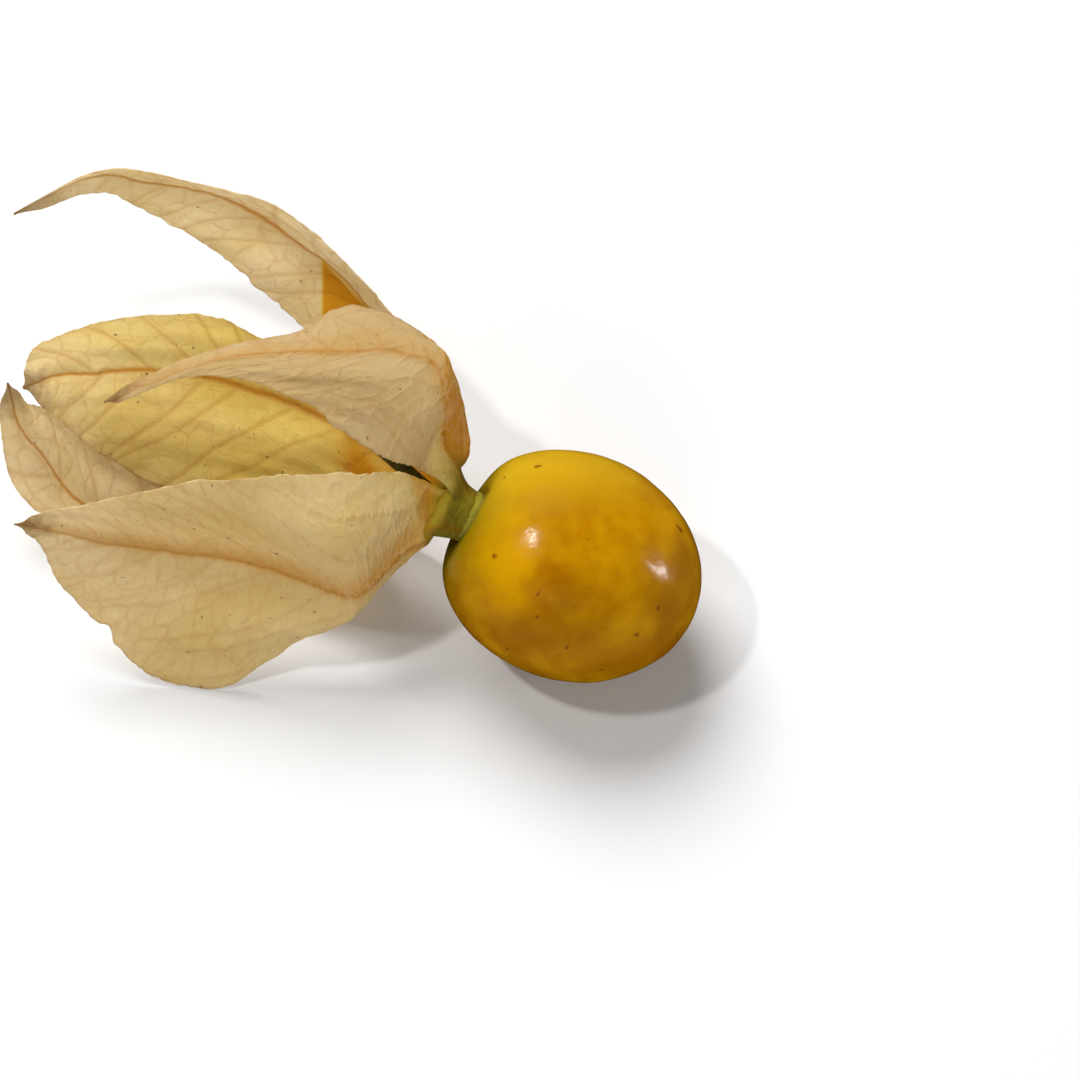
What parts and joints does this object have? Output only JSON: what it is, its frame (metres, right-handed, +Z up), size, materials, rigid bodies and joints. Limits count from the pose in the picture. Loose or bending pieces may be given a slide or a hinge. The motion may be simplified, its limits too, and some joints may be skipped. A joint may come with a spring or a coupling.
{
  "type": "physalis berry",
  "caption": "Ripe cape gooseberry with a smooth round berry, a short green neck and its papery husk torn open and folded back over the stem.",
  "frame": {"origin": "middle of the bounding box's base, on the surface that the fruit lies on", "axes": "+X from the husk's tips towards the berry, along the longest extent; +Y away from the side that shows the open husk; +Z up"},
  "size_m": [0.0558, 0.0388, 0.0237],
  "materials": {
    "berry_skin": "gloss",
    "calyx_green": "satin",
    "stem_green": "matte",
    "husk": "matte"
  },
  "bodies": {
    "root": {"berry": "berry_skin", "calyx_neck": "calyx_green", "stem": "stem_green", "sepal_top": "husk", "sepal_back": "husk", "sepal_far": "husk", "sepal_left": "husk", "sepal_front": "husk"}
  },
  "joints": []
}
